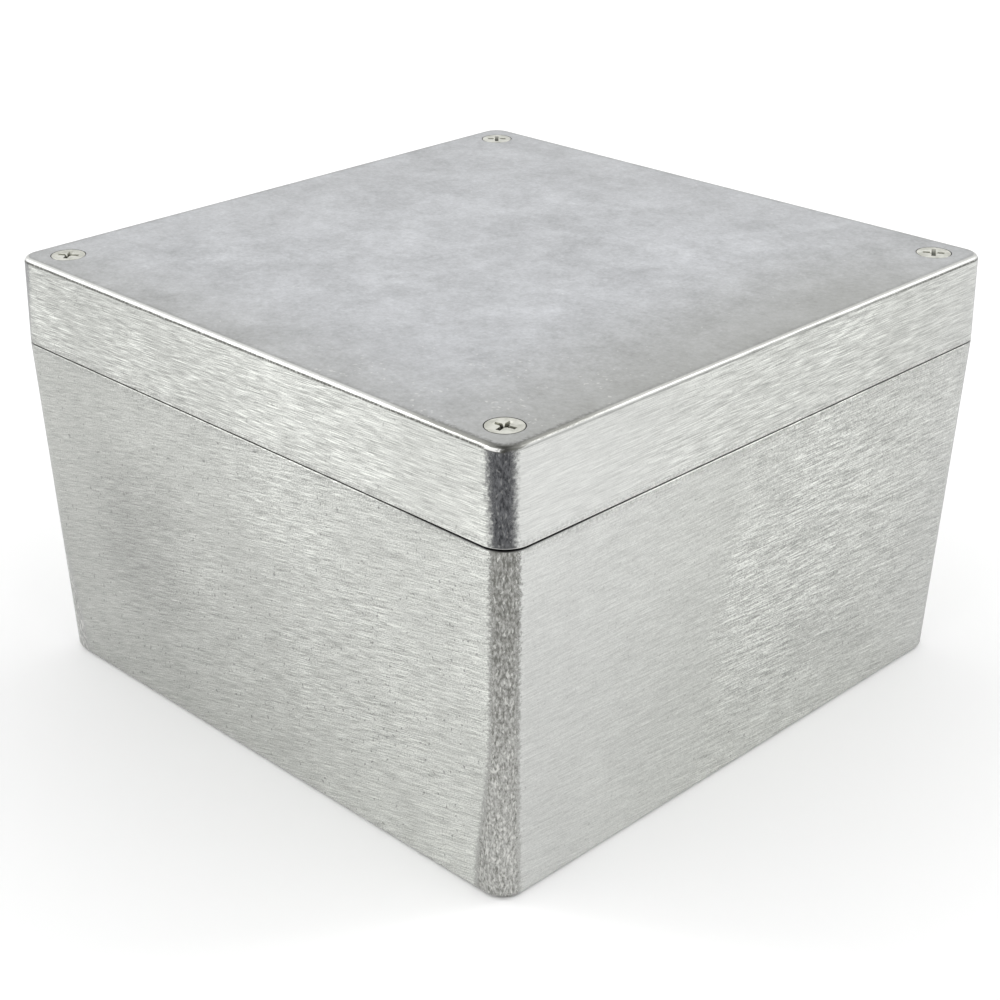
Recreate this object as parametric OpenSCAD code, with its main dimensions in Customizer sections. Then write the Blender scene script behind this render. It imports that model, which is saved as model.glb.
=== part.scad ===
// Die cast aluminium box: a deep base, a deep lid on a seal, and four captive lid screws.
// Origin at the middle of the underside, +Z up, millimetres.

/* [Outline] */
// Outer width of both castings where they meet
seam_w = 160; // [150:0.5:175]
// Height of the base, underside to rim
base_h = 82.3; // [60:0.1:110]
// Height of the lid, rim to top
lid_h = 20.6; // [18.5:0.1:28]
// Draft of the base's sides, in degrees
base_draft = 2.2; // [1:0.1:3]
// Draft of the lid's sides, in degrees
lid_draft = 1.8; // [1:0.1:3]
// Radius of the upright corners at the seam
seam_r = 6.2; // [5:0.1:8]
// Radius of the upright corners at the foot
foot_r = 5.6; // [4:0.1:8]
// Radius of the upright corners at the top
top_r = 4.9; // [4:0.1:8]
// Rounding of the edge round the underside
foot_round = 1.6; // [0.6:0.1:2.5]
// Rounding of the edge round the lid's top
top_round = 1.3; // [0.6:0.1:2.5]
// Edge break on both castings at the seam
seam_break = 0.2; // [0.1:0.05:0.5]

/* [Walls] */
// Wall of the base at its rim
base_wall = 4; // [3.4:0.1:5]
// Floor of the base
floor_t = 4; // [3:0.1:6]
// Plate of the lid
plate_t = 3.5; // [3:0.1:5]
// Draft of the inside faces, in degrees
core_draft = 1.5; // [0.5:0.1:2.2]
// Radius of the round inner face of each screw post, about its screw
post_r = 8.7; // [8.3:0.1:11]

/* [Seal] */
// Open seam between the two castings
seam_gap = 0.25; // [0.1:0.05:0.6]
// Width of the tongue that stands on the base's rim
tongue_w = 1.6; // [1.2:0.1:1.8]
// Height of the tongue
tongue_h = 1.8; // [1.2:0.1:2.4]
// Clearance each side of the tongue in the lid's groove
groove_clear = 0.5; // [0.3:0.05:0.6]
// Depth of the groove in the lid
groove_d = 4; // [3.2:0.1:5]
// Lid wall left inside the groove
inner_land = 1.2; // [1:0.1:2]

/* [Lid screws] */
// Distance of each screw's axis from the two sides it stands by, at the seam
screw_inset = 9.3; // [9:0.1:10.5]
// Thread diameter
screw_d = 4; // [3.6:0.1:4.2]
// Overall length of a screw, countersunk head included
screw_len = 28; // [26:0.5:32]
// Diameter of the countersunk head
head_d = 7.9; // [7:0.1:8.4]
// Height of the head's straight edge
head_edge = 0.3; // [0.2:0.05:0.5]
// Depth of each head below the lid's top
head_sink = 0.1; // [0:0.05:0.5]
// Clearance between the head and its countersink
head_clear = 0.15; // [0.1:0.05:0.3]
// Radial clearance of the thread in its tapped hole and in its ring
thread_clear = 0.05; // [0.02:0.01:0.1]
// Radial clearance of the thread in the lid
shank_clear = 0.25; // [0.15:0.05:0.5]
// Rise of one turn of the thread
thread_rise = 0.7; // [0.5:0.05:0.8]
// Turns that undo a screw
undo_turns = 11; // [10:1:12]
// Depth of each tapped hole below the tip of its screw
tap_spare = 2.5; // [1:0.1:5]
// Width across the wings of the cross recess
recess_w = 4.8; // [3.6:0.1:5.2]
// Width of one wing
wing_w = 0.9; // [0.6:0.1:1.2]
// Depth of the cross recess
recess_d = 1.7; // [1.2:0.1:1.9]

/* [Retaining rings] */
// Outer diameter of a ring
ring_d = 7; // [6.4:0.1:7.6]
// Thickness of a ring
ring_t = 1.5; // [1:0.1:2]
// Clearance round and above a ring in the lid
ring_clear = 0.3; // [0.2:0.05:0.5]

/* [Plate bosses] */
// Distance of each boss's axis from the two sides it stands by, at the seam
boss_inset = 25; // [22:0.5:35]
// Diameter of a boss at its top
boss_d = 8; // [7:0.1:10]
// Height of a boss above the floor
boss_h = 6; // [4:0.1:10]
// Diameter of the pilot hole in each boss
pilot_d = 3.3; // [2.5:0.1:4.2]
// Depth of the pilot hole
pilot_deep = 7; // [4:0.1:8]
// Fillet round the foot of each boss
boss_fillet = 1.5; // [0.5:0.1:2.5]

/* [Hidden] */

// Segments of the cast outlines, which are lofted, and of the turned pieces
CAST_FN = 64;
TURNED_FN = 96;
// Overlap that carries a cut past a face
cut = 1;

// Heights of the seam and the top
lid_z = base_h + seam_gap;
top_z = lid_z + lid_h;
// Half widths at the foot, the seam and the top
half_seam = seam_w / 2;
half_foot = half_seam - base_h * tan(base_draft);
half_top = half_seam - lid_h * tan(lid_draft);

// Corners, as signs of X and Y, and how far each screw's recess is turned
FRONT_LEFT = [-1, -1];
FRONT_RIGHT = [1, -1];
BACK_RIGHT = [1, 1];
BACK_LEFT = [-1, 1];
CORNERS = [FRONT_LEFT, FRONT_RIGHT, BACK_RIGHT, BACK_LEFT];
TURN_FRONT_LEFT = 38;
TURN_FRONT_RIGHT = 12;
TURN_BACK_RIGHT = 33;
TURN_BACK_LEFT = 44;

// Screw and ring heights
screw_at = half_seam - screw_inset;
head_z = top_z - head_sink;
tip_z = head_z - screw_len;
undo_rise = undo_turns * thread_rise;
ring_z = base_h + ring_clear;
ring_room_z = ring_z + ring_t + undo_rise + ring_clear;

// Bosses on the floor
boss_at = half_seam - boss_inset;
// The inner edge of the base's rim; every seal outline is this one, grown
rim_half = half_seam - base_wall;
groove_out = tongue_w + groove_clear;
groove_in = -groove_clear;
lid_cavity_in = groove_in - inner_land;

ALUMINIUM = [0.78, 0.79, 0.77];
STEEL = [0.84, 0.83, 0.80];
RUBBER = [0.13, 0.13, 0.14];
NYLON = [0.90, 0.89, 0.84];

// One upright corner: a disc at the seam and a rounded edge at the far end, lofted together.
// Levels are measured from the seam, away from it.
module corner_stack(half_a, r_a, half_b, r_b, h, edge) {
    translate([half_a - r_a, half_a - r_a, 0])
        cylinder(h = 0.01, r = r_a - seam_break, $fn = CAST_FN);
    translate([half_a - r_a, half_a - r_a, seam_break])
        cylinder(h = 0.01, r = r_a, $fn = CAST_FN);
    translate([half_b - r_b, half_b - r_b, h - edge])
        rotate_extrude($fn = CAST_FN)
            intersection() {
                translate([r_b - edge, 0]) circle(r = edge, $fn = CAST_FN / 2);
                square([r_b, edge]);
            }
}

// The outside of a casting, from the seam outwards: four corners joined by flat drafted sides
module shell(half_b, r_b, h, edge) {
    hull()
        for (corner = CORNERS)
            scale([corner.x, corner.y, 1])
                corner_stack(half_seam, seam_r, half_b, r_b, h, edge);
}

// The rim's inner outline grown by a width: a square whose corners step in round the screws
module rim_outline(grow) {
    half = rim_half + grow;
    notch = post_r - grow;
    difference() {
        square(2 * half, center = true);
        for (corner = CORNERS)
            scale([corner.x, corner.y])
                translate([screw_at, screw_at]) {
                    circle(r = notch, $fn = TURNED_FN);
                    translate([-notch, 0]) square([notch + half, half]);
                    translate([0, -notch]) square([half, notch + half]);
                }
    }
}

// A closed band between two rim outlines
module rim_band(inner, outer, h) {
    linear_extrude(height = h)
        difference() {
            rim_outline(outer);
            rim_outline(inner);
        }
}

// A hollow that narrows away from the seam with the draft of its core
module core(grow, depth) {
    half = rim_half + grow;
    linear_extrude(height = depth, scale = (half - depth * tan(core_draft)) / half)
        rim_outline(grow);
}

// One copy at each corner, at a distance from the middle along X and along Y
module at_corners(distance) {
    for (corner = CORNERS)
        translate([corner.x * distance, corner.y * distance, 0])
            children();
}

// A boss on the floor with a fillet round its foot and a pilot hole for a plate's screw
module plate_boss() {
    r = boss_d / 2;
    rotate_extrude($fn = TURNED_FN)
        difference() {
            square([r + boss_fillet, boss_h]);
            translate([r, boss_fillet]) square([boss_fillet + cut, boss_h]);
            translate([r + boss_fillet, boss_fillet]) circle(r = boss_fillet, $fn = TURNED_FN);
        }
}

module base() {
    color(ALUMINIUM)
        difference() {
            union() {
                difference() {
                    translate([0, 0, base_h]) mirror([0, 0, 1])
                        shell(half_foot, foot_r, base_h, foot_round);
                    translate([0, 0, base_h]) mirror([0, 0, 1])
                        core(0, base_h - floor_t);
                }
                translate([0, 0, base_h]) rim_band(0, tongue_w, tongue_h);
                at_corners(boss_at) translate([0, 0, floor_t]) plate_boss();
            }
            at_corners(screw_at)
                translate([0, 0, tip_z - tap_spare])
                    cylinder(h = base_h - tip_z + tap_spare + cut, d = screw_d + 2 * thread_clear,
                             $fn = TURNED_FN);
            at_corners(boss_at)
                translate([0, 0, floor_t + boss_h - pilot_deep])
                    cylinder(h = pilot_deep + cut, d = pilot_d, $fn = TURNED_FN);
        }
}

// The cut for one screw: countersink, clearance hole and the room its ring rises in
module screw_way() {
    mouth_r = head_d / 2 + head_clear;
    hole_r = screw_d / 2 + shank_clear;
    seat_z = head_z - head_edge - head_clear;
    rotate_extrude($fn = TURNED_FN)
        polygon([
            [0, lid_z - cut],
            [ring_d / 2 + ring_clear, lid_z - cut],
            [ring_d / 2 + ring_clear, ring_room_z],
            [hole_r, ring_room_z],
            [hole_r, seat_z - (mouth_r - hole_r)],
            [mouth_r, seat_z],
            [mouth_r, top_z + cut],
            [0, top_z + cut]
        ]);
}

module lid() {
    color(ALUMINIUM)
        difference() {
            translate([0, 0, lid_z]) shell(half_top, top_r, lid_h, top_round);
            translate([0, 0, lid_z]) core(lid_cavity_in, lid_h - plate_t);
            translate([0, 0, lid_z - cut]) rim_band(groove_in, groove_out, groove_d + cut);
            at_corners(screw_at) screw_way();
        }
}

// A strip in the lid's groove that rests on the base's tongue
module gasket() {
    tongue_top = base_h + tongue_h;
    color(RUBBER)
        translate([0, 0, tongue_top])
            rim_band(groove_in, groove_out, lid_z + groove_d - tongue_top);
}

// A countersunk screw with a cross recess, its tip chamfered
module lid_screw(corner, turn) {
    shank_r = screw_d / 2;
    head_r = head_d / 2;
    seat_z = head_z - head_edge;
    tip_chamfer = shank_r / 4;
    color(STEEL)
        translate([corner.x * screw_at, corner.y * screw_at, 0])
            difference() {
                rotate_extrude($fn = TURNED_FN)
                    polygon([
                        [0, tip_z],
                        [shank_r - tip_chamfer, tip_z],
                        [shank_r, tip_z + tip_chamfer],
                        [shank_r, seat_z - (head_r - shank_r)],
                        [head_r, seat_z],
                        [head_r, head_z],
                        [0, head_z]
                    ]);
                translate([0, 0, head_z - recess_d])
                    rotate([0, 0, turn])
                        linear_extrude(height = recess_d + cut)
                            for (wing = [0, 90])
                                rotate([0, 0, wing])
                                    square([recess_w, wing_w], center = true);
            }
}

// The ring on a screw's thread that keeps the screw in the lid when it is undone
module retaining_ring(corner) {
    color(NYLON)
        translate([corner.x * screw_at, corner.y * screw_at, ring_z])
            difference() {
                cylinder(h = ring_t, d = ring_d, $fn = TURNED_FN);
                translate([0, 0, -cut])
                    cylinder(h = ring_t + 2 * cut, d = screw_d + 2 * thread_clear, $fn = TURNED_FN);
            }
}

module lid_screw_front_left() lid_screw(FRONT_LEFT, TURN_FRONT_LEFT);
module lid_screw_front_right() lid_screw(FRONT_RIGHT, TURN_FRONT_RIGHT);
module lid_screw_back_right() lid_screw(BACK_RIGHT, TURN_BACK_RIGHT);
module lid_screw_back_left() lid_screw(BACK_LEFT, TURN_BACK_LEFT);
module retaining_ring_front_left() retaining_ring(FRONT_LEFT);
module retaining_ring_front_right() retaining_ring(FRONT_RIGHT);
module retaining_ring_back_right() retaining_ring(BACK_RIGHT);
module retaining_ring_back_left() retaining_ring(BACK_LEFT);

base();
lid();
gasket();
lid_screw_front_left();
lid_screw_front_right();
lid_screw_back_right();
lid_screw_back_left();
retaining_ring_front_left();
retaining_ring_front_right();
retaining_ring_back_right();
retaining_ring_back_left();
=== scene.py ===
import math
from types import SimpleNamespace

import bmesh
import bpy
from mathutils import Matrix, Vector


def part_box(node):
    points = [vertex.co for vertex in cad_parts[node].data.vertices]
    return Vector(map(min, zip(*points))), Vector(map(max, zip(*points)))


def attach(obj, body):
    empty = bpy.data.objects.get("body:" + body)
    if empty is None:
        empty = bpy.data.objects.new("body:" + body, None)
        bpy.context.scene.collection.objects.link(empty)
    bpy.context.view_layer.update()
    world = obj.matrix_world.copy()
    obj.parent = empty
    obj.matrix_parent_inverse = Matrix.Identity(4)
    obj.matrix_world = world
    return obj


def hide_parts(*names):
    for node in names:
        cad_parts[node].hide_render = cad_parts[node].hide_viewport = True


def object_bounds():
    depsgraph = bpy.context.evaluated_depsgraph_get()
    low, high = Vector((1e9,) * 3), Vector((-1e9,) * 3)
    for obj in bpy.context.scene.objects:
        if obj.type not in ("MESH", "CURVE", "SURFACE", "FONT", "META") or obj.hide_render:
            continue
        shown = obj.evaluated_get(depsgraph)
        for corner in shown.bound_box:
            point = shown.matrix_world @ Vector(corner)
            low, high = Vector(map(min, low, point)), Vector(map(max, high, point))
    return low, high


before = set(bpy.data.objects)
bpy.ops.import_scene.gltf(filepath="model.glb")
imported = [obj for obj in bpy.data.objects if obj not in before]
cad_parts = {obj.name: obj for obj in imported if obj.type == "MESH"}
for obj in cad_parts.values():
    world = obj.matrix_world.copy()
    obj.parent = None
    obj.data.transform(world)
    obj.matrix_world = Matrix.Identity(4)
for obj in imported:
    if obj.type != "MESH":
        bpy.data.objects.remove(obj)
cad_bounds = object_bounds()
MM = 0.001


# ---------------------------------------------------------------------------
# Base casting
# The lower half of the box: one die casting with drafted sides. Its four
# sides are linished after casting; corners, inside and underside keep the
# cast skin.
# ---------------------------------------------------------------------------

# The level of the base's rim, and how far each screw's axis stands off the middle, in mm
RIM_Z = 82.3
screw_low, screw_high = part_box("lid_screw_front_right")
SCREW_AT = (screw_low + screw_high).x / 2 / MM

# The cast skin, its specks, and greyer tones toward the plate's edge and beside two of its sides
SKIN_DARK, SKIN_LIGHT = (0.36, 0.367, 0.376, 1), (0.67, 0.682, 0.704, 1)
PLATE_EDGE_GREY = (0.30, 0.30, 0.29, 1)
PLATE_GREYED = (0.33, 0.33, 0.30, 1)
PLATE_SPECK, CORNER_SPECK = (0.8, 0.8, 0.77, 1), (0.74, 0.74, 0.71, 1)
COOL_BELT = (0.625, 0.625, 0.635, 1)
# Painted shadow in the seam, painted highlights and shade on and under the rolled edge, and painted shadow
# round the screws
SEAM_PAINTED_SHADE, SEAM_PAINTED_SHADOW = (0.12, 0.12, 0.11, 1), (0.03, 0.03, 0.03, 1)
ROLL_SHADE = (0.12, 0.12, 0.115, 1)
ROLL_PAINTED_HIGHLIGHT, ROLL_PAINTED_DARK = (0.81, 0.815, 0.79, 1), (0.48, 0.48, 0.44, 1)
CREASE_PAINTED_SHADE = (0.10, 0.10, 0.09, 1)
EDGE_PAINTED_SHADE, CORNER_PAINTED_SHADE = (0.16, 0.16, 0.145, 1), (0.10, 0.10, 0.09, 1)
ROLL_PAINTED_GLINT = (0.88, 0.88, 0.86, 1)
HOLE_PAINTED_SHADOW = (0.03, 0.03, 0.025, 1)
SKIN_ROUGHNESS, BELT_ROUGHNESS = 0.48, 0.40
CORNER_ROUGHNESS, ROLL_ROUGHNESS = 0.36, 0.28
# Half the height of the painted shadow's band at the seam, in mm
SEAM_BAND = 0.02


def node_tools(tree):
    """Short ways to add nodes to a tree and to do sums with their sockets."""

    def put(socket, value):
        if isinstance(value, bpy.types.NodeSocket):
            tree.links.new(value, socket)
        elif value is not None:
            socket.default_value = value

    def add(kind, inputs=(), **settings):
        node = tree.nodes.new(kind)
        for name, value in settings.items():
            setattr(node, name, value)
        for key, value in dict(inputs).items():
            put(node.inputs[key], value)
        return node

    def sums(operation, a, b=None, c=None, clamp=False):
        node = add("ShaderNodeMath", operation=operation, use_clamp=clamp)
        for socket, value in zip(node.inputs, (a, b, c)):
            put(socket, value)
        return node.outputs[0]

    def plus(a, b, clamp=False):
        return sums("ADD", a, b, clamp=clamp)

    def minus(a, b):
        return sums("SUBTRACT", a, b)

    def times(first, *others):
        for other in others:
            first = sums("MULTIPLY", first, other)
        return first

    def times_plus(a, b, c, clamp=False):
        return sums("MULTIPLY_ADD", a, b, c, clamp)

    def centred(share):
        return minus(share, 0.5)

    def other_than(share):
        return minus(1.0, share)

    def apart(a, b):
        return sums("ABSOLUTE", minus(a, b))

    def length(a, b):
        return sums("SQRT", times_plus(a, a, times(b, b)))

    def vector(x=0.0, y=0.0, z=0.0):
        return add("ShaderNodeCombineXYZ", {0: x, 1: y, 2: z}).outputs[0]

    def parts(place):
        return add("ShaderNodeSeparateXYZ", {0: place}).outputs

    def noise(place, scale=1.0, detail=2.0, roughness=0.5):
        wanted = {"Vector": place, "Scale": scale, "Detail": detail, "Roughness": roughness}
        return add("ShaderNodeTexNoise", wanted).outputs["Fac"]

    def rise(value, low, high, to_low=0.0, to_high=1.0):
        wanted = {0: value, 1: low, 2: high, 3: to_low, 4: to_high}
        return add("ShaderNodeMapRange", wanted, interpolation_type="SMOOTHSTEP").outputs[0]

    def fall(value, low, high, full=1.0):
        return rise(value, low, high, full, 0.0)

    def blend(share, a, b):
        """One colour where the share is 0, the other where it is 1."""
        wanted = {"Factor": share, 6: a, 7: b}
        return add("ShaderNodeMix", wanted, data_type="RGBA").outputs[2]

    def mix(share, a, b):
        """One number where the share is 0, the other where it is 1."""
        wanted = {"Factor": share, 2: a, 3: b}
        return add("ShaderNodeMix", wanted, data_type="FLOAT").outputs[0]

    tools = (put, add, sums, plus, minus, times, times_plus, centred, other_than, apart, length)
    tools += (vector, parts, noise, rise, fall, blend, mix)
    return SimpleNamespace(**{tool.__name__: tool for tool in tools})


def group_with(name, inputs, outputs):
    """A new shader node group with these sockets; returns it with its tools and its two ends."""
    tree = bpy.data.node_groups.new(name, "ShaderNodeTree")
    for way, sockets in (("INPUT", inputs), ("OUTPUT", outputs)):
        for socket, kind in sockets.items():
            tree.interface.new_socket(socket, in_out=way, socket_type=kind)
    start, end = tree.nodes.new("NodeGroupInput"), tree.nodes.new("NodeGroupOutput")
    return tree, node_tools(tree), start.outputs, end.inputs


FLOAT, VECTOR = "NodeSocketFloat", "NodeSocketVector"


def linished_group():
    """Fine scratches of an abrasive belt over a slightly pitted casting, on one flat face, in mm."""
    tree, make, start, end = group_with(
        "linished",
        dict.fromkeys(("Along", "Across", "Slice", "Coarse", "Grain"), FLOAT),
        dict.fromkeys(("Tone", "Glint", "Height"), FLOAT),
    )

    def streaks(length, width, shift, detail):
        """Noise drawn out along the belt's way; each shift gives other streaks."""
        place = make.vector(
            make.sums("DIVIDE", start["Along"], length),
            make.sums("DIVIDE", start["Across"], width),
            make.plus(start["Slice"], shift),
        )
        return make.noise(place, detail=detail, roughness=0.7)

    fine = streaks(5.2, 0.14, 0.0, 1.0)
    broad = streaks(11.0, 0.55, 7.3, 2.0)
    scratches = make.rise(streaks(5.0, 0.2, 23.7, 0.0), 0.60, 0.74)
    grain = streaks(0.42, 0.34, 41.9, 1.0)
    hollows = streaks(0.75, 1.0, 61.3, 0.0)
    fine_weight, broad_weight, grain_weight, pit_depth, scratch_depth = 2.4, 0.9, 1.5, 0.65, 0.5

    tone = make.times(make.centred(fine), fine_weight)
    tone = make.times_plus(make.centred(broad), broad_weight, tone)
    tone = make.times_plus(make.centred(grain), make.times(start["Grain"], grain_weight), tone)
    pits = make.times(make.fall(hollows, 0.17, 0.25, pit_depth), start["Grain"])
    make.put(end["Tone"], make.minus(tone, pits))
    make.put(end["Glint"], make.times(scratches, start["Coarse"]))
    make.put(end["Height"], make.times_plus(scratches, scratch_depth, fine))
    return tree


def cast_skin_group():
    """The skin that a die leaves: clouds, fine grain and a few bright specks, in mm."""
    tree, make, start, end = group_with(
        "cast_skin",
        {"Place": VECTOR, "Speck share": FLOAT},
        {"Tone": FLOAT, "Fleck": FLOAT, "Speck": FLOAT},
    )
    place = start["Place"]
    cloud_weight, fleck_weight = 2.0, 0.95
    clouds = make.centred(make.noise(place, 0.06, 5.0, 0.85))
    fleck = make.centred(make.noise(place, 1.1, 2.0, 0.7))
    crumbs = make.noise(place, 1.15, 0.0)
    # A speck shows where the crumbs pass a limit, which comes down as the share of specks goes up
    limit = make.minus(0.84, make.times(start["Speck share"], 0.25))
    make.put(end["Tone"], make.times_plus(fleck, fleck_weight, make.times(clouds, cloud_weight)))
    make.put(end["Fleck"], fleck)
    make.put(end["Speck"], make.rise(make.minus(crumbs, limit), 0.0, 0.08))
    return tree


LINISHED = linished_group()
CAST_SKIN = cast_skin_group()


def casting_material(
    name,
    wall,
    radius,
    top_z,
    seam_z,
    belt_colours,
    strip_colours,
    strip_low,
    strip_high,
    strip_edge,
    strip_fleck,
    strip_speck,
    coarse_front,
    coarse_side,
    painted_light_front,
    painted_light_side,
    lean_front,
    lean_side,
    grain,
    painted_lip_share,
    painted_lip_colour,
):
    """Aluminium as cast, with linished outer sides that stop short of the rounded corners.

    wall, radius and the two leans give a line each: the value at z 0 and its rise per mm.
    strip_low and strip_high give a height and the half width of the unlinished strip there, on
    the sides that face Y and on those that face X. "front" values are for the sides that face Y,
    at their -X and +X ends, and "side" values for those that face X, at their -Y and +Y ends.
    """
    material = bpy.data.materials.new(name)
    material.use_nodes = True
    tree = material.node_tree
    tree.nodes.clear()
    make = node_tools(tree)
    sums, plus, minus, times, times_plus = make.sums, make.plus, make.minus, make.times, make.times_plus
    rise, fall, blend, mix = make.rise, make.fall, make.blend, make.mix

    # Where a point lies, in mm, which pair of sides it is on, and how far along its side
    coordinates = make.add("ShaderNodeTexCoord").outputs["Object"]
    scaled = make.add("ShaderNodeVectorMath", {0: coordinates, "Scale": 1 / MM}, operation="SCALE")
    place = scaled.outputs[0]
    x, y, z = make.parts(place)
    size_x, size_y = sums("ABSOLUTE", x), sums("ABSOLUTE", y)
    on_x = sums("GREATER_THAN", size_x, size_y)
    on_y = make.other_than(on_x)
    along, facing = mix(on_x, x, y), mix(on_x, y, x)
    slice_ = times_plus(facing, 0.05, times(on_x, 3.7))
    from_corner = make.apart(size_x, size_y)
    crumbs = make.noise(place, 1.4, 2.0, 0.7)
    uneven = make.centred(crumbs)
    toward_front_right = minus(x, y)
    front_right_corner = rise(toward_front_right, 120.0, 140.0)

    # How far a point lies outside the rounded square of the outer wall at its height
    turn = times_plus(z, radius[1], radius[0])
    inset = minus(times_plus(z, wall[1], wall[0]), turn)
    past_x, past_y = minus(size_x, inset), minus(size_y, inset)
    round_corner = make.length(sums("MAXIMUM", past_x, 0.0), sums("MAXIMUM", past_y, 0.0))
    straight = sums("MINIMUM", sums("MAXIMUM", past_x, past_y), 0.0)
    level = minus(plus(round_corner, straight), turn)
    on_wall = rise(level, -0.9, -0.6)

    # The rolled edge round the top, which the belt took down further on the +X side
    below_top = minus(top_z, z)
    fine_side = times(on_x, fall(y, 0.0, 75.0))
    roll_foot = plus(top_z, mix(fine_side, -0.66, -0.34))
    under_roll = fall(minus(z, roll_foot), -0.09, 0.09)
    outer = times(on_wall, under_roll)
    roll = times(rise(level, -1.25, -0.9), make.other_than(under_roll))

    # The belt stopped at a ragged line beside each corner
    ragged = times(uneven, 3.8)
    (low_z, low_front, low_side), (high_z, high_front, high_side) = strip_low, strip_high
    up_strip = rise(z, low_z, high_z)
    strip_half = mix(on_x, mix(up_strip, low_front, high_front), mix(up_strip, low_side, high_side))
    strip = rise(plus(ragged, minus(strip_half, from_corner)), *strip_edge)
    belt = times(outer, make.other_than(strip))
    corner = times(outer, strip)

    # The belt ran a few degrees off level and cut deeper on some stretches, which lie in patches,
    # and less toward the foot and toward the far end of the +X side
    leans = [times_plus(z, lean[1], lean[0]) for lean in (lean_front, lean_side)]
    leaning = mix(on_x, *leans)
    across = minus(z, times(along, leaning))
    patch_size = 40
    patch_place = make.vector(sums("DIVIDE", along, patch_size), sums("DIVIDE", z, patch_size), slice_)
    patch = make.noise(patch_place, 1.0, 3.0)
    reach = times_plus(make.centred(patch), 50.0, along)
    coarse = mix(on_x, rise(reach, *coarse_front), rise(reach, *coarse_side))
    coarse = times(coarse, rise(patch, 0.36, 0.6, 0.5, 1.15))
    coarse = times(coarse, rise(z, 4.0, 40.0, 0.5, 1.0))
    coarse = times(coarse, mix(on_x, 1.0, rise(y, 0.0, 55.0, 1.0, 0.45)))
    marks = {"Along": along, "Across": across, "Slice": slice_, "Coarse": coarse, "Grain": grain}
    linished = make.add("ShaderNodeGroup", marks, node_tree=LINISHED).outputs

    # Painted light and shade: each side is painted lighter toward one end and darker toward the other, and
    # darker toward the foot at the -X end of the sides that face Y; patches of tone vary at random
    end_on = rise(along, -75.0, 75.0)
    shade = mix(on_x, mix(end_on, *painted_light_front), mix(end_on, *painted_light_side))
    painted_foot_shade = times(on_y, rise(z, 0.0, 80.0, -0.03, 0.0))
    shade = times_plus(painted_foot_shade, make.other_than(end_on), shade)
    shade = times_plus(make.centred(patch), 0.25, shade)
    # It is duller in one stretch of the -Y side, and brighter along the foot of the +X side's far half
    dull = times(on_y, fall(make.apart(along, -38.0), 5.0, 24.0))
    dull = times(dull, fall(make.apart(z, 43.0), 10.0, 27.0))
    shade = times_plus(dull, -0.12, shade)
    bright = times(on_x, fall(z, 7.0, 26.0), rise(y, -10.0, 6.0))
    shade = times_plus(bright, 0.09, shade)
    belt_tone = times_plus(linished["Tone"], mix(coarse, 0.38, 0.9), shade)
    belt_tone = times_plus(linished["Glint"], 0.4, belt_tone)
    belt_colour = blend(plus(belt_tone, 0.5, clamp=True), *belt_colours)
    cool = times(on_x, rise(make.apart(y, 18.0), 22.0, 90.0, 0.0, 0.3))
    belt_colour = blend(cool, belt_colour, COOL_BELT)

    # The cast skin: clouded on the plate and inside, with specks that run up the corners
    sideways, upright = mix(corner, 1.0, 1.9), mix(corner, 1.0, 0.8)
    squeeze = make.vector(sideways, sideways, upright)
    squeezed = make.add("ShaderNodeVectorMath", {0: place, 1: squeeze}, operation="MULTIPLY").outputs[0]
    drift = rise(make.noise(place, 0.09, 1.0), 0.40, 0.62)
    pecked = times(rise(times_plus(y, -1.6, x), 95.0, 150.0), drift)
    pecked = times_plus(pecked, 0.58, 0.05)
    speck_share = mix(corner, pecked, rise(z, 0.0, 62.0, 1.0, 0.62))
    wanted = {"Place": squeezed, "Speck share": speck_share}
    skin = make.add("ShaderNodeGroup", wanted, node_tree=CAST_SKIN).outputs

    # The plate is greyer beside the -Y and the +X side
    plate_greying = sums("MAXIMUM", x, minus(-18.0, y))
    plate_greying = rise(times_plus(uneven, 26.0, plate_greying), 34.0, 84.0)
    plate_greying = times(plate_greying, rise(y, 30.0, 78.0, 1.0, 0.35))
    skin_share = times_plus(skin["Tone"], times_plus(plate_greying, 0.35, 0.8), 0.5, clamp=True)
    skin_colour = blend(skin_share, SKIN_DARK, SKIN_LIGHT)
    toward_edge = rise(sums("MAXIMUM", size_x, size_y), 35.0, 80.0, 0.0, 0.14)
    skin_colour = blend(toward_edge, skin_colour, PLATE_EDGE_GREY)
    skin_colour = blend(times(plate_greying, 0.58), skin_colour, PLATE_GREYED)
    skin_colour = blend(times(skin["Speck"], 0.36), skin_colour, PLATE_SPECK)

    # Painted dark reflection on the corner strips: darker upwards, at full strength at the front-right
    # corner and eased toward the skin elsewhere
    strip_share = times_plus(skin["Fleck"], strip_fleck, rise(z, 10.0, 80.0, 0.49, 0.2), clamp=True)
    strip_colour = blend(strip_share, *strip_colours)
    strip_colour = blend(times_plus(front_right_corner, -0.4, 0.4), strip_colour, skin_colour)
    strip_colour = blend(times(skin["Speck"], strip_speck), strip_colour, CORNER_SPECK)
    colour = blend(belt, skin_colour, belt_colour)
    colour = blend(corner, colour, strip_colour)

    # Painted shadow in the seam, painted as a wider band near the front-right corner, and patches of painted
    # shade beside it
    off_seam = make.apart(z, seam_z)
    near_corner = rise(toward_front_right, 112.0, 148.0)
    band = times_plus(near_corner, 0.06, SEAM_BAND)
    seam_shadow = times(fall(minus(off_seam, band), 0.0, 0.08), on_wall)
    seam_shade = times(fall(off_seam, 0.2, 2.6), rise(crumbs, 0.42, 0.62, 0.0, 0.3))
    colour = blend(times(seam_shade, on_wall), colour, SEAM_PAINTED_SHADE)
    # A painted line on the lip beside the seam: painted shade on the base's, a painted highlight on the
    # lid's near the front-right corner
    painted_lip = times(fall(off_seam, 0.12, 0.42, 0.75), on_wall, mix(near_corner, *painted_lip_share))
    colour = blend(painted_lip, colour, painted_lip_colour)
    colour = blend(times(seam_shadow, mix(near_corner, 0.3, 1.0)), colour, SEAM_PAINTED_SHADOW)
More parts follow.
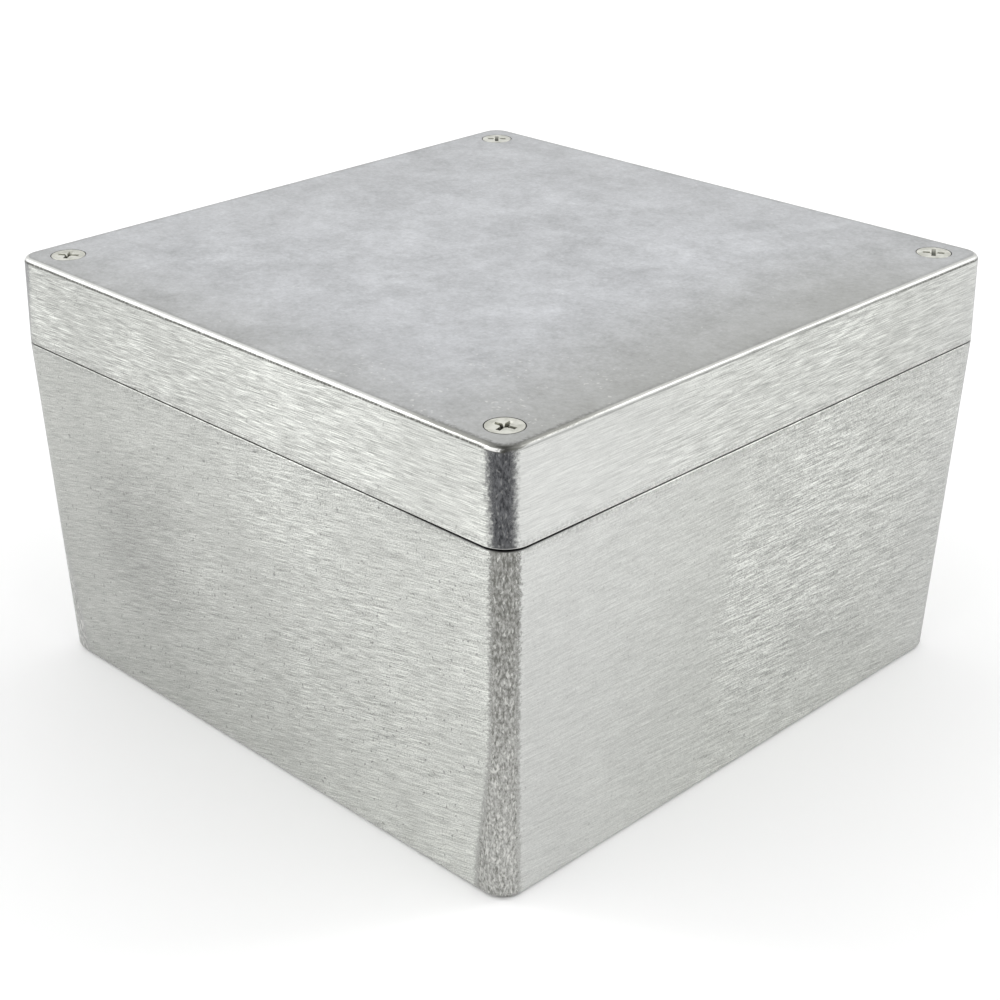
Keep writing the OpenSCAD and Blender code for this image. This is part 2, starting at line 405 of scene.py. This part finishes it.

    # Painted light on the rolled edge: painted shade on the lower part of the +X side's roll, a painted
    # highlight along the roll that is darker on the +X side and near the front-right corner, and painted
    # shade in the crease under it
    side_roll = times(on_wall, fine_side, rise(below_top, 0.32, 0.42))
    side_roll = times(side_roll, fall(below_top, 0.85, 1.0))
    colour = blend(times(side_roll, 0.5), colour, ROLL_SHADE)
    close = times(front_right_corner, fall(from_corner, 5.0, mix(on_x, 70.0, 130.0)))
    roll_darkening = sums("MAXIMUM", times(on_x, 0.5), times(close, 0.85))
    roll_darkening = times(roll_darkening, rise(crumbs, 0.38, 0.58, 1.15, 0.55))
    colour = blend(times(roll, 0.7), colour, blend(roll_darkening, ROLL_PAINTED_HIGHLIGHT, ROLL_PAINTED_DARK))
    # Painted shade in the crease under the roll
    crease = fall(make.apart(below_top, 0.88), 0.06, 0.38)
    crease = times(crease, times(on_wall, mix(fine_side, 1.0, 0.1)))
    crease = times(crease, rise(crumbs, 0.36, 0.56, 0.5, 0.95))
    colour = blend(crease, colour, CREASE_PAINTED_SHADE)

    # Painted shade on the plate's edge and on the roll, most beside the front-right corner
    ragged_level = times_plus(uneven, 2.2, level)
    at_tip = times(front_right_corner, fall(from_corner, 2.0, 7.0))
    reach_down = times_plus(at_tip, 0.35, times_plus(close, 0.14, 0.24))
    reach_down = times_plus(uneven, 0.5, reach_down)
    painted_edge_shade = times(fall(minus(below_top, reach_down), -0.06, 0.12), rise(ragged_level, -2.4, -1.0))
    painted_edge_shade = times(painted_edge_shade, times_plus(close, 0.45, 0.3))
    painted_edge_shade = times_plus(times(at_tip, painted_edge_shade), 0.15, painted_edge_shade, clamp=True)
    colour = blend(painted_edge_shade, colour, blend(at_tip, EDGE_PAINTED_SHADE, CORNER_PAINTED_SHADE))
    # A painted highlight: one bright spot on the roll there
    spot = make.apart(minus(size_x, size_y), -3.6)
    spot = fall(times_plus(uneven, 6.0, spot), 1.4, 3.0, 0.7)
    spot = times(spot, times(front_right_corner, rise(below_top, 0.34, 0.42)))
    spot = times(spot, times(on_wall, fall(below_top, 0.9, 1.0)))
    colour = blend(spot, colour, ROLL_PAINTED_GLINT)

    # Painted shadow in the countersinks round the heads, darkest at the front-right corner
    off_hole = make.length(minus(size_x, SCREW_AT), minus(size_y, SCREW_AT))
    ring = times(fall(off_hole, 4.02, 4.2), sums("LESS_THAN", below_top, 4.0))
    ring = times(ring, rise(off_hole, 3.55, 3.85))
    ring = times(ring, mix(front_right_corner, 0.35, 0.9))
    colour = blend(ring, colour, HOLE_PAINTED_SHADOW)

    roughness = mix(belt, SKIN_ROUGHNESS, BELT_ROUGHNESS)
    roughness = mix(corner, roughness, CORNER_ROUGHNESS)
    roughness = mix(roll, roughness, ROLL_ROUGHNESS)
    height = mix(on_wall, skin["Fleck"], linished["Height"])
    bump = make.add("ShaderNodeBump", {"Height": height, "Strength": 0.25, "Distance": 0.05 * MM})
    surface = make.add(
        "ShaderNodeBsdfPrincipled",
        {"Base Color": colour, "Metallic": 1.0, "Roughness": roughness, "Normal": bump.outputs[0]},
    )
    make.add("ShaderNodeOutputMaterial", {0: surface.outputs[0]})
    return material


def smooth_copy(node, name):
    """A CAD node's mesh with its doubles merged, smooth but for creases, and its flats kept flat."""
    solid = bmesh.new()
    solid.from_mesh(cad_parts[node].data)
    bmesh.ops.remove_doubles(solid, verts=solid.verts, dist=1e-6)
    mesh = bpy.data.meshes.new(name)
    solid.to_mesh(mesh)
    solid.free()
    if "custom_normal" in mesh.attributes:
        mesh.attributes.remove(mesh.attributes["custom_normal"])
    mesh.materials.clear()
    mesh.shade_smooth()
    mesh.set_sharp_from_angle(angle=math.radians(30))
    piece = bpy.data.objects.new(name, mesh)
    bpy.context.scene.collection.objects.link(piece)
    weighted = piece.modifiers.new("flats", "WEIGHTED_NORMAL")
    weighted.keep_sharp = True
    weighted.weight = 100
    settled = bpy.data.meshes.new_from_object(
        piece.evaluated_get(bpy.context.evaluated_depsgraph_get())
    )
    settled.name = name
    piece.modifiers.clear()
    piece.data = settled
    return piece


base_casting = smooth_copy("base", "base_casting")
base_casting.data.materials.append(
    casting_material(
        "base_aluminium",
        wall=(76.85, 0.0383),
        radius=(5.6, 0.0073),
        top_z=200.0,  # far over the rim, as the base has no rolled edge
        seam_z=RIM_Z,
        belt_colours=((0.29, 0.294, 0.28, 1), (0.845, 0.858, 0.818, 1)),
        strip_colours=((0.155, 0.155, 0.142, 1), (0.61, 0.61, 0.588, 1)),
        strip_low=(0.0, 8.2, 4.7),
        strip_high=(42.0, 4.0, 4.1),
        strip_edge=(-0.8, 0.7),
        strip_fleck=2.1,
        strip_speck=0.5,
        coarse_front=(-70.0, 60.0),
        coarse_side=(-22.0, -4.0),
        painted_light_front=(-0.20, 0.04),
        painted_light_side=(0.05, -0.18),
        lean_front=(0.29, -0.0016),
        lean_side=(-0.12, 0.0016),
        grain=1.1,
        painted_lip_share=(0.4, 1.0),
        painted_lip_colour=(0.10, 0.10, 0.095, 1),
    )
)
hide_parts("base")
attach(base_casting, "base")


# ---------------------------------------------------------------------------
# Gasket
# A strip of black rubber pressed into the lid's groove, which the base's
# tongue meets. Seen only with the lid off.
# ---------------------------------------------------------------------------


def plain_material(name):
    """A new material; returns it with its tools and the inputs of its surface."""
    material = bpy.data.materials.new(name)
    material.use_nodes = True
    tree = material.node_tree
    return material, node_tools(tree), tree.nodes["Principled BSDF"].inputs


def finish_node(node, material):
    """A CAD node that is shown as it is, in a finished material."""
    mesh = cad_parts[node].data
    mesh.materials.clear()
    mesh.materials.append(material)


RUBBER_BLACK, RUBBER_BLOOM = (0.018, 0.018, 0.02, 1), (0.05, 0.05, 0.05, 1)


def rubber_material():
    """Black rubber with a fine matt grain and a pale bloom in places."""
    material, make, surface = plain_material("gasket_rubber")
    coordinates = make.add("ShaderNodeTexCoord").outputs["Object"]
    bloom = make.rise(make.noise(coordinates, 180.0, 4.0, 0.6), 0.4, 0.75)
    grain = make.noise(coordinates, 2600.0, 2.0, 0.6)
    bump = make.add("ShaderNodeBump", {"Height": grain, "Strength": 0.3, "Distance": 0.05 * MM})
    make.put(surface["Base Color"], make.blend(bloom, RUBBER_BLACK, RUBBER_BLOOM))
    make.put(surface["Normal"], bump.outputs[0])
    make.put(surface["Roughness"], 0.7)
    return material


finish_node("gasket", rubber_material())


# ---------------------------------------------------------------------------
# Lid casting
# The upper half: a die casting with a rolled edge round its plate, linished
# on its four sides like the base, with a countersunk hole at each corner.
# ---------------------------------------------------------------------------

lid_low, lid_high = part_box("lid")
lid_casting = smooth_copy("lid", "lid_casting")
lid_casting.data.materials.append(
    casting_material(
        "lid_aluminium",
        wall=(82.59, -0.0314),
        radius=(11.4, -0.063),
        top_z=lid_high.z / MM,
        seam_z=lid_low.z / MM,
        belt_colours=((0.32, 0.325, 0.31, 1), (0.92, 0.934, 0.89, 1)),
        # Darker than the base's strips: partly their cast skin, partly painted dark reflection
        strip_colours=((0.042, 0.043, 0.046, 1), (0.29, 0.294, 0.305, 1)),
        strip_low=(82.0, 3.5, 2.7),
        strip_high=(103.0, 4.7, 2.4),
        strip_edge=(-1.7, 1.3),
        strip_fleck=1.2,
        strip_speck=0.15,
        coarse_front=(-160.0, -80.0),
        coarse_side=(-60.0, -20.0),
        painted_light_front=(-0.22, -0.02),
        painted_light_side=(-0.02, -0.2),
        lean_front=(0.045, 0.0),
        lean_side=(0.0, 0.0),
        grain=0.45,
        painted_lip_share=(0.0, 0.9),
        painted_lip_colour=(0.80, 0.80, 0.78, 1),
    )
)
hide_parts("lid")
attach(lid_casting, "lid")


# ---------------------------------------------------------------------------
# Retaining rings
# A moulded nylon ring on each screw's thread, which can't pass the hole in
# the lid and so keeps the undone screw in it.
# ---------------------------------------------------------------------------

CORNERS = ("front_left", "front_right", "back_right", "back_left")
NYLON_CREAM, NYLON_PALE = (0.70, 0.67, 0.58, 1), (0.82, 0.80, 0.73, 1)


def nylon_material():
    """Cream nylon, a little cloudy, with light sunk into it."""
    material, make, surface = plain_material("ring_nylon")
    coordinates = make.add("ShaderNodeTexCoord").outputs["Object"]
    clouds = make.noise(coordinates, 300.0, 3.0)
    pits = make.noise(coordinates, 1800.0, 2.0)
    bump = make.add("ShaderNodeBump", {"Height": pits, "Strength": 0.15, "Distance": 0.05 * MM})
    make.put(surface["Base Color"], make.blend(clouds, NYLON_CREAM, NYLON_PALE))
    make.put(surface["Normal"], bump.outputs[0])
    make.put(surface["Roughness"], 0.42)
    make.put(surface["Subsurface Weight"], 0.15)
    make.put(surface["Subsurface Radius"], (1.0 * MM, 0.8 * MM, 0.6 * MM))
    return material


RING_NYLON = nylon_material()
for corner_name in CORNERS:
    finish_node("retaining_ring_" + corner_name, RING_NYLON)


# ---------------------------------------------------------------------------
# Lid screws
# Countersunk stainless screws with a cross recess and a rolled thread. Each
# was driven home by hand, so its recess lies at its own angle.
# ---------------------------------------------------------------------------

# Sizes in mm, and each recess's turn in degrees
HEAD_RADIUS, HEAD_EDGE, HEAD_BEVEL = 3.9, 0.3, 0.03
THREAD_RADIUS, ROOT_RADIUS, THREAD_RISE = 2.0, 1.65, 0.7
RECESS_HALF, WING_HALF, RECESS_DEPTH = 2.4, 0.5, 1.9
RECESS_TURN = {"front_left": 38, "front_right": 12, "back_right": 33, "back_left": 44}
STEEL_STAINED, STEEL_BRIGHT = (0.47, 0.472, 0.42, 1), (0.68, 0.68, 0.62, 1)
# Painted shade in the recess and painted shadow at the head's rim
RECESS_PAINTED_SHADE, RIM_PAINTED_SHADOW = (0.05, 0.05, 0.04, 1), (0.06, 0.06, 0.05, 1)


def screw_tree():
    """Geometry Nodes that make one screw, head upwards, its head's top at the origin, in mm."""
    tree = bpy.data.node_groups.new("countersunk_screw", "GeometryNodeTree")
    sizes = {
        "Head radius": HEAD_RADIUS,
        "Head edge": HEAD_EDGE,
        "Thread radius": THREAD_RADIUS,
        "Root radius": ROOT_RADIUS,
        "Length": 28.0,
        "Rise": THREAD_RISE,
        "Recess half": RECESS_HALF,
        "Wing half": WING_HALF,
        "Recess depth": RECESS_DEPTH,
        "Turn": 0.0,
    }
    tree.interface.new_socket("Geometry", in_out="OUTPUT", socket_type="NodeSocketGeometry")
    tree.interface.new_socket("Geometry", in_out="INPUT", socket_type="NodeSocketGeometry")
    for name, value in sizes.items():
        tree.interface.new_socket(name, in_out="INPUT", socket_type=FLOAT).default_value = value
    tree.interface.new_socket("Place", in_out="INPUT", socket_type=VECTOR)
    tree.interface.new_socket("Material", in_out="INPUT", socket_type="NodeSocketMaterial")
    start = tree.nodes.new("NodeGroupInput").outputs
    end = tree.nodes.new("NodeGroupOutput").inputs
    make = node_tools(tree)
    sums, plus, minus, times, times_plus = make.sums, make.plus, make.minus, make.times, make.times_plus

    def moved(mesh, **way):
        return make.add("GeometryNodeTransform", {"Geometry": mesh, **way}).outputs[0]

    def slice_of(top, bottom, depth, foot_z, sides=96, rings=1, caps="NONE"):
        """A turned slice: its two radii, its height and the level of its foot."""
        wanted = {
            "Vertices": sides,
            "Side Segments": rings,
            "Radius Top": top,
            "Radius Bottom": bottom,
            "Depth": depth,
        }
        cone = make.add("GeometryNodeMeshCone", wanted, fill_type=caps)
        return moved(cone.outputs["Mesh"], Translation=make.vector(z=foot_z))

    def disc(radius):
        wanted = {"Vertices": 96, "Radius": radius}
        return make.add("GeometryNodeMeshCircle", wanted, fill_type="NGON").outputs[0]

    def joined(*pieces):
        node = make.add("GeometryNodeJoinGeometry")
        for piece in pieces:
            make.put(node.inputs[0], piece)
        return node.outputs[0]

    def place_of():
        """The three parts of each vertex's own place."""
        return make.parts(make.add("GeometryNodeInputPosition").outputs[0])

    # The head: a bevelled rim over a 90 degree cone, as one closed turned form
    head_radius, edge, thread_radius = start["Head radius"], start["Head edge"], start["Thread radius"]
    cone_depth = minus(head_radius, thread_radius)
    edge_foot = times(edge, -1.0)
    head_foot = minus(edge_foot, cone_depth)
    top_radius = minus(head_radius, HEAD_BEVEL)
    pieces = [
        slice_of(top_radius, head_radius, HEAD_BEVEL, -HEAD_BEVEL),
        slice_of(head_radius, head_radius, minus(edge, HEAD_BEVEL), edge_foot),
        slice_of(head_radius, thread_radius, cone_depth, head_foot),
        disc(top_radius),
    ]
    foot = moved(disc(thread_radius), Translation=make.vector(z=head_foot))
    pieces.append(make.add("GeometryNodeFlipFaces", {"Mesh": foot}).outputs[0])
    head = make.add("GeometryNodeMergeByDistance", {"Geometry": joined(*pieces), "Distance": 0.001})
    head = head.outputs[0]

    # The recess: two tapered wings that cross, and the square well where they meet
    depth, recess_half = start["Recess depth"], start["Recess half"]
    over_head = 0.3

    def wing(quarter):
        """A bar that tapers downwards, turned with the recess."""
        cube = {"Size": make.vector(2.0, 2.0, 2.0), "Vertices X": 2, "Vertices Y": 2, "Vertices Z": 2}
        block = make.add("GeometryNodeMeshCube", cube).outputs["Mesh"]
        at_x, at_y, at_z = place_of()
        low = times_plus(at_z, -0.5, 0.5)
        length = times(recess_half, times_plus(low, -0.62, 1.12))
        width = times(start["Wing half"], times_plus(low, -0.35, 1.05))
        down = minus(over_head, times(low, plus(depth, over_head)))
        place = make.vector(times(at_x, length), times(at_y, width), down)
        shaped = make.add("GeometryNodeSetPosition", {"Geometry": block, "Position": place}).outputs[0]
        return turned(shaped, quarter)

    def turned(mesh, more):
        turn = times_plus(start["Turn"], math.pi / 180, more)
        return moved(mesh, Rotation=make.vector(z=turn))

    well_top, well_foot = times(recess_half, 0.66), 0.35
    well = slice_of(well_top, well_foot, plus(depth, 0.4), times(depth, -1.0), sides=4, caps="NGON")
    for cutter in (wing(0.0), wing(math.pi / 2), turned(well, 0.0)):
        cut = make.add("GeometryNodeMeshBoolean", operation="DIFFERENCE", solver="EXACT")
        make.put(cut.inputs["Mesh 1"], head)
        make.put(cut.inputs["Mesh 2"], cutter)
        head = cut.outputs["Mesh"]

    # The thread: a cylinder whose radius winds between root and crest, fading at the tip
    tip, into_head, tip_bevel = times(start["Length"], -1.0), 0.15, 0.55
    shank_length = minus(plus(head_foot, into_head), tip)
    shank = slice_of(thread_radius, thread_radius, shank_length, tip, sides=36, rings=290, caps="NGON")
    at_x, at_y, at_z = place_of()
    angle = sums("ARCTAN2", at_y, at_x)
    winding = minus(sums("DIVIDE", at_z, start["Rise"]), sums("DIVIDE", angle, 2 * math.pi))
    tooth = times(sums("PINGPONG", winding, 0.5), 2.0)
    tooth = make.add("ShaderNodeMapRange", {0: tooth, 1: 0.12, 2: 0.88, 3: 0.0, 4: 1.0}).outputs[0]
    root_radius = start["Root radius"]
    radius = times_plus(tooth, minus(thread_radius, root_radius), root_radius)
    radius = sums("MINIMUM", radius, plus(minus(thread_radius, tip_bevel), minus(at_z, tip)))
    round_about = make.vector(times(radius, sums("COSINE", angle)), times(radius, sums("SINE", angle)), at_z)
    off_axis = sums("GREATER_THAN", plus(sums("ABSOLUTE", at_x), sums("ABSOLUTE", at_y)), 0.1)
    wanted = {"Geometry": shank, "Position": round_about, "Selection": off_axis}
    shank = make.add("GeometryNodeSetPosition", wanted).outputs[0]

    screw = moved(joined(head, shank), Scale=(MM, MM, MM), Translation=start["Place"])
    screw = make.add("GeometryNodeRealizeInstances", {"Geometry": screw}).outputs[0]
    wanted = {"Geometry": screw, "Material": start["Material"]}
    make.put(end["Geometry"], make.add("GeometryNodeSetMaterial", wanted).outputs[0])
    return tree


def steel_material():
    """Plain stainless steel with faint stains, painted shade down in its recess and a painted shadow at the
    front-right screw's rim.
    """
    material, make, surface = plain_material("screw_steel")
    coordinates = make.add("ShaderNodeTexCoord").outputs["Object"]
    x, y, z = make.parts(coordinates)
    stain = make.noise(coordinates, 420.0, 4.0, 0.6)
    colour = make.blend(make.rise(stain, 0.3, 0.7), STEEL_STAINED, STEEL_BRIGHT)
    head_top = lid_high.z
    # Painted shade down in the recess
    sunk = make.fall(z, head_top - 0.9 * MM, head_top - 0.15 * MM, 0.6)
    sunk = make.times(sunk, make.sums("GREATER_THAN", z, head_top - 2.0 * MM))
    colour = make.blend(sunk, colour, RECESS_PAINTED_SHADE)
    # Painted shadow at the rim of the front-right screw's head
    off_x = make.minus(make.sums("ABSOLUTE", x), SCREW_AT * MM)
    off_y = make.minus(make.sums("ABSOLUTE", y), SCREW_AT * MM)
    rim = (HEAD_RADIUS - 0.16) * MM, (HEAD_RADIUS - 0.04) * MM
    rim_shadow = make.rise(make.length(off_x, off_y), *rim, 0.0, 0.85)
    rim_shadow = make.times(rim_shadow, make.rise(make.minus(x, y), 138 * MM, 150 * MM))
    colour = make.blend(rim_shadow, colour, RIM_PAINTED_SHADOW)
    pits = make.noise(coordinates, 3000.0, 2.0, 0.5)
    bump = make.add("ShaderNodeBump", {"Height": pits, "Strength": 0.25, "Distance": 0.03 * MM})
    make.put(surface["Base Color"], colour)
    make.put(surface["Roughness"], make.rise(stain, 0.3, 0.7, 0.42, 0.28))
    make.put(surface["Normal"], bump.outputs[0])
    make.put(surface["Metallic"], 1.0)
    return material


SCREW_STEEL = steel_material()
SCREW_TREE = screw_tree()
SCREW_INPUTS = {
    item.name: item.identifier for item in SCREW_TREE.interface.items_tree if item.in_out == "INPUT"
}
for corner_name in CORNERS:
    low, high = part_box("lid_screw_" + corner_name)
    axis = (low + high) / 2
    holder = bpy.data.objects.new("holder", bpy.data.meshes.new("holder"))
    bpy.context.scene.collection.objects.link(holder)
    modifier = holder.modifiers.new("screw", "NODES")
    modifier.node_group = SCREW_TREE
    modifier[SCREW_INPUTS["Turn"]] = float(RECESS_TURN[corner_name])
    modifier[SCREW_INPUTS["Length"]] = (high.z - low.z) / MM
    modifier[SCREW_INPUTS["Place"]] = (axis.x, axis.y, lid_high.z)
    modifier[SCREW_INPUTS["Material"]] = SCREW_STEEL
    made = bpy.data.meshes.new_from_object(
        holder.evaluated_get(bpy.context.evaluated_depsgraph_get())
    )
    bpy.data.objects.remove(holder)
    made.shade_smooth()
    made.set_sharp_from_angle(angle=math.radians(32))
    screw = bpy.data.objects.new("screw_" + corner_name, made)
    bpy.context.scene.collection.objects.link(screw)
    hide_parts("lid_screw_" + corner_name)
    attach(screw, "lid_screw_" + corner_name)


# ---------------------------------------------------------------------------
# Floor, light and camera
# A white floor that keeps the box's shadow, a bright room with a dark strip
# that the metal mirrors, two small soft lamps, and one camera.
# ---------------------------------------------------------------------------

# The camera, in degrees and metres: where it stands round the box and over it, and how it is held
AZIMUTH, ELEVATION, ROLL = math.radians(45.715), math.radians(25.544), math.radians(-0.380)
DISTANCE, ASIDE, RAISED = 0.47783, -0.009682, -0.010384
ROOM_TURN = math.radians(45.71)

world = bpy.data.worlds.new("studio")
bpy.context.scene.world = world
world.use_nodes = True
world.node_tree.nodes.clear()
make = node_tools(world.node_tree)
direction = make.add("ShaderNodeTexCoord").outputs["Generated"]


def share_along(way):
    """How far the ray's direction goes one way, from -1 to 1."""
    wanted = {0: direction, 1: way}
    return make.add("ShaderNodeVectorMath", wanted, operation="DOT_PRODUCT").outputs["Value"]


sideways = make.sums("ABSOLUTE", share_along((math.cos(ROOM_TURN), math.sin(ROOM_TURN), 0.0)))
forward = share_along((math.sin(ROOM_TURN), -math.cos(ROOM_TURN), 0.0))
upward = share_along((0.0, 0.0, 1.0))
# Bright walls left and right, a darker one behind, and a dark strip over and behind the camera
walls = make.rise(forward, -0.9, -0.6, 1.05, 1.45)
dark_strip = make.times(make.fall(sideways, 0.10, 0.38), make.rise(forward, -0.7, -0.45))
room = make.times(walls, make.times_plus(dark_strip, -0.85, 1.0))
room = make.times(room, make.rise(upward, 0.02, 0.16, 0.45, 1.0))
seen = make.add("ShaderNodeLightPath").outputs["Is Camera Ray"]
wanted = {"Color": (1.0, 1.0, 1.0, 1.0), "Strength": make.mix(seen, room, 1.0)}
background = make.add("ShaderNodeBackground", wanted)
make.add("ShaderNodeOutputWorld", {0: background.outputs[0]})

floor_mesh = bpy.data.meshes.new("floor")
FLOOR_HALF = 3.0
floor_corners = [
    (-FLOOR_HALF, -FLOOR_HALF, 0),
    (FLOOR_HALF, -FLOOR_HALF, 0),
    (FLOOR_HALF, FLOOR_HALF, 0),
    (-FLOOR_HALF, FLOOR_HALF, 0),
]
floor_mesh.from_pydata(floor_corners, [], [(0, 1, 2, 3)])
floor = bpy.data.objects.new("floor", floor_mesh)
bpy.context.scene.collection.objects.link(floor)
floor_paint, make, surface = plain_material("floor_white")
make.put(surface["Base Color"], (0.96, 0.96, 0.96, 1))
make.put(surface["Roughness"], 0.6)
make.put(surface["Specular IOR Level"], 0.2)
floor_mesh.materials.append(floor_paint)


def softbox(name, place, aim, side, power):
    """A square studio lamp that points at a place."""
    lamp = bpy.data.lights.new(name, "AREA")
    lamp.shape = "RECTANGLE"
    lamp.size, lamp.size_y = side, side
    lamp.energy = power
    holder = bpy.data.objects.new(name, lamp)
    holder.location = place
    holder.rotation_mode = "QUATERNION"
    holder.rotation_quaternion = (Vector(aim) - Vector(place)).to_track_quat("-Z", "Y")
    bpy.context.scene.collection.objects.link(holder)


middle = (0.0, 0.0, 0.05)
softbox("left", (-0.95, -0.63, 0.9), middle, side=0.3, power=2.0)
softbox("right", (0.6, 0.9, 0.9), middle, side=0.3, power=2.0)

back = Vector(
    (
        math.sin(AZIMUTH) * math.cos(ELEVATION),
        -math.cos(AZIMUTH) * math.cos(ELEVATION),
        math.sin(ELEVATION),
    )
)
level_right = Vector((math.cos(AZIMUTH), math.sin(AZIMUTH), 0.0))
level_up = back.cross(level_right)
right = level_right * math.cos(ROLL) + level_up * math.sin(ROLL)
up = level_up * math.cos(ROLL) - level_right * math.sin(ROLL)
lens = bpy.data.cameras.new("camera")
lens.lens = 70.97
lens.sensor_width = 36
lens.shift_x = 0.0406
lens.clip_start = 0.01
camera = bpy.data.objects.new("camera", lens)
box_middle = Vector((0, 0, cad_bounds[1].z / 2))
stand = box_middle + back * DISTANCE + right * ASIDE + up * RAISED
camera.matrix_world = Matrix.Translation(stand) @ Matrix((right, up, back)).transposed().to_4x4()
bpy.context.scene.collection.objects.link(camera)
bpy.context.scene.camera = camera
bpy.context.scene.view_settings.view_transform = "Standard"
